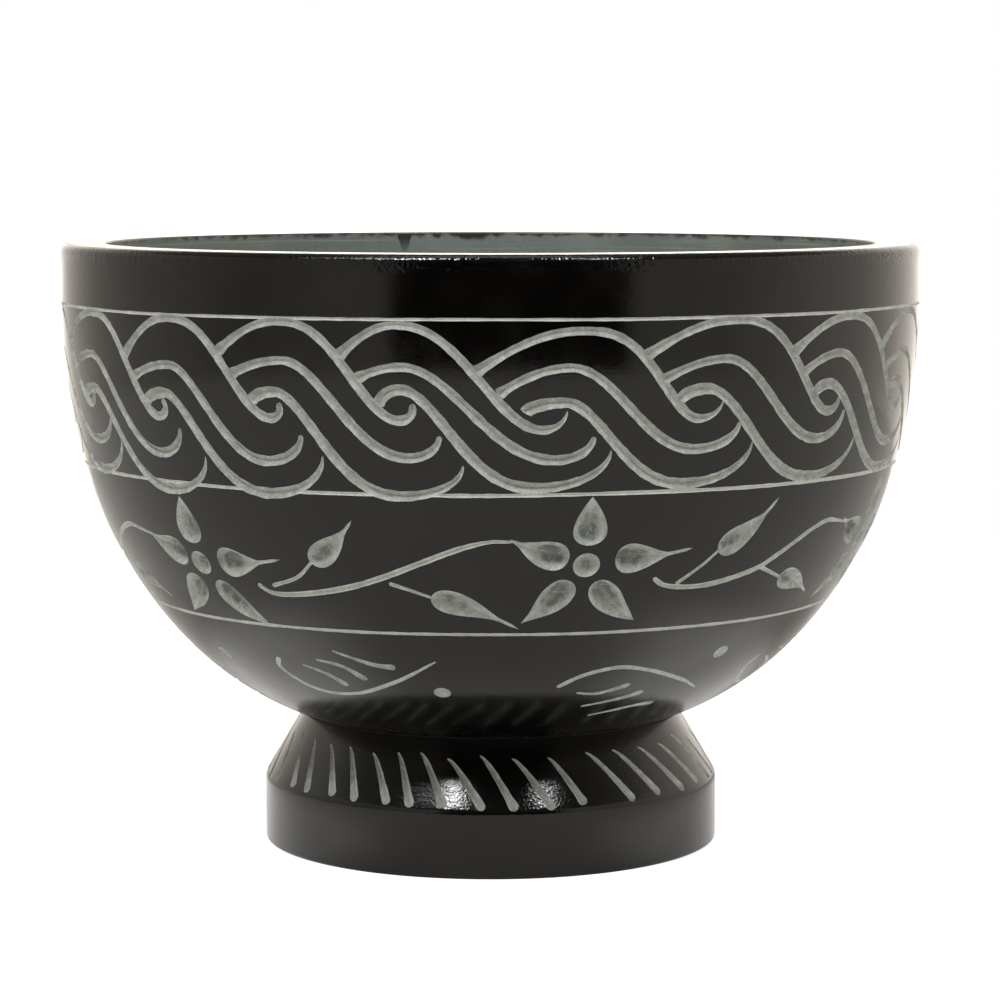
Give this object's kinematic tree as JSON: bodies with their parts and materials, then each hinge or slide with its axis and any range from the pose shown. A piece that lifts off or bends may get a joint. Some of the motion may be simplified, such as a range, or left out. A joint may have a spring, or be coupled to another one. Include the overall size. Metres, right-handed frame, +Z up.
{
  "type": "footed bowl",
  "caption": "Turned stone bowl with a deep round hollow and scribed bands, bonded by a spigot to a flared foot with slanting gouge cuts.",
  "frame": {"origin": "centre of the face that the foot stands on", "axes": "+Z up along the bowl's axis; -Y is the front, +X is to the right seen from the front"},
  "size_m": [0.2, 0.2, 0.1407],
  "materials": {
    "dyed_stone": "black dyed and polished, bare grey-green stone in the cuts and inside",
    "foot_stone": "black dyed and satin, with fine turning marks",
    "adhesive": "dark cured adhesive"
  },
  "bodies": {
    "root": {"bowl": "dyed_stone", "foot": "foot_stone", "bond": "adhesive"}
  },
  "joints": []
}
